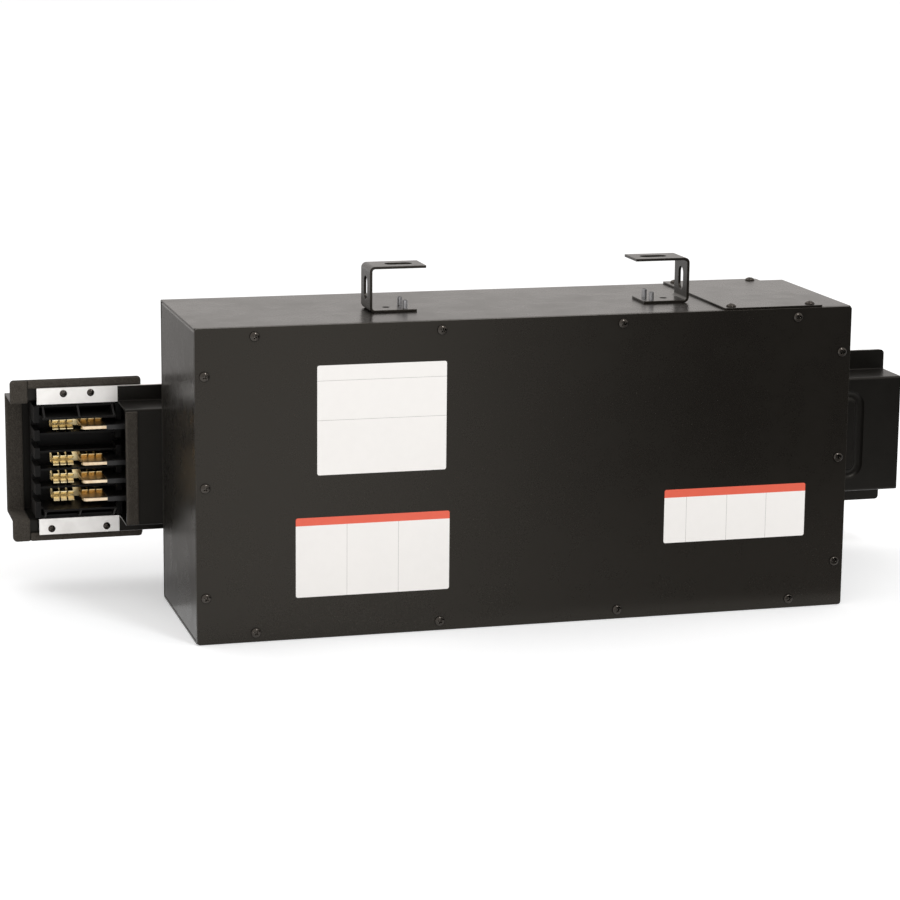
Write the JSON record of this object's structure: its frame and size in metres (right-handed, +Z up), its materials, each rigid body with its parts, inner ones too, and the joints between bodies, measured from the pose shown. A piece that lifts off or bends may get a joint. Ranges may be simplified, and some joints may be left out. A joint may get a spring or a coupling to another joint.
{
  "type": "busway tap off box",
  "caption": "Black sheet-steel cable tap box on a length of low-voltage busway, with hangers, an open spring-jaw joint and a covered joint.",
  "frame": {"origin": "centre of the box's underside", "axes": "+X along the busway to the right as seen from the front, +Y from the front cover to the busway behind the box, +Z up towards the hangers"},
  "size_m": [0.9432, 0.2945, 0.35],
  "materials": {
    "box_paint": "matte",
    "housing_paint": "satin",
    "dark_screws": "satin",
    "zinc": "satin",
    "aluminium": "satin",
    "copper": "satin",
    "spring_brass": "satin",
    "sleeve": "satin",
    "moulding": "satin",
    "laminate": "matte",
    "foam": "matte"
  },
  "bodies": {
    "box": {"enclosure_wrap": "box_paint", "end_plate_left": "box_paint", "end_plate_right": "box_paint", "weld_nuts": "zinc", "hanger_left": "box_paint", "hanger_right": "box_paint", "hanger_screws": "zinc", "housing_front": "housing_paint", "housing_rear": "housing_paint", "ground_bar_top": "aluminium", "ground_bar_bottom": "aluminium", "flange_rivets": "dark_screws", "housing_screws": "zinc", "hex_nuts": "zinc", "bus_bar_1": "copper", "bus_bar_2": "copper", "bus_bar_3": "copper", "bus_bar_4": "copper", "bar_sleeves": "sleeve", "bar_supports": "moulding", "joint_insulator": "moulding", "contact_jaw_1": "spring_brass", "contact_jaw_2": "spring_brass", "contact_jaw_3": "spring_brass", "contact_jaw_4": "spring_brass", "joint_cover_rear": "housing_paint", "rear_cover_screws": "dark_screws", "gasket_rear_strips": "foam", "gasket_rear_end": "foam", "gasket_hat_left": "foam", "gasket_hat_right": "foam", "gasket_hat_rear": "foam", "tap_strap_1": "copper", "tap_strap_2": "copper", "tap_strap_3": "copper", "tap_strap_4": "copper", "terminal_board": "laminate", "board_standoffs": "zinc", "board_screws": "zinc", "lug_1": "aluminium", "lug_2": "aluminium", "lug_3": "aluminium", "lug_4": "aluminium", "lug_bolts": "zinc", "earth_bar": "aluminium", "earth_bar_screws": "zinc"},
    "front_cover": {"front_cover": "box_paint", "cover_screws": "dark_screws"},
    "entry_plate": {"cable_entry_plate": "box_paint", "entry_screws": "dark_screws"},
    "joint_cover": {"joint_cover_front": "housing_paint", "joint_cover_screws": "dark_screws", "gasket_cover_strips": "foam"},
    "lug_screw_1": {"lug_screw_1": "zinc"},
    "lug_screw_2": {"lug_screw_2": "zinc"},
    "lug_screw_3": {"lug_screw_3": "zinc"},
    "lug_screw_4": {"lug_screw_4": "zinc"}
  },
  "joints": [
    {"name": "front_cover_off", "type": "slide", "parent": "box", "child": "front_cover", "axis": [0, -1, 0], "range_m": [0, 0.12]},
    {"name": "entry_plate_off", "type": "slide", "parent": "box", "child": "entry_plate", "axis": [0, 0, 1], "range_m": [0, 0.1]},
    {"name": "joint_cover_off", "type": "slide", "parent": "box", "child": "joint_cover", "axis": [0, -1, 0], "range_m": [0, 0.1]},
    {"name": "lug_screw_1_in", "type": "slide", "parent": "box", "child": "lug_screw_1", "axis": [0, 1, 0], "range_m": [0, 0.01]},
    {"name": "lug_screw_2_in", "type": "slide", "parent": "box", "child": "lug_screw_2", "axis": [0, 1, 0], "range_m": [0, 0.01]},
    {"name": "lug_screw_3_in", "type": "slide", "parent": "box", "child": "lug_screw_3", "axis": [0, 1, 0], "range_m": [0, 0.01]},
    {"name": "lug_screw_4_in", "type": "slide", "parent": "box", "child": "lug_screw_4", "axis": [0, 1, 0], "range_m": [0, 0.01]}
  ]
}
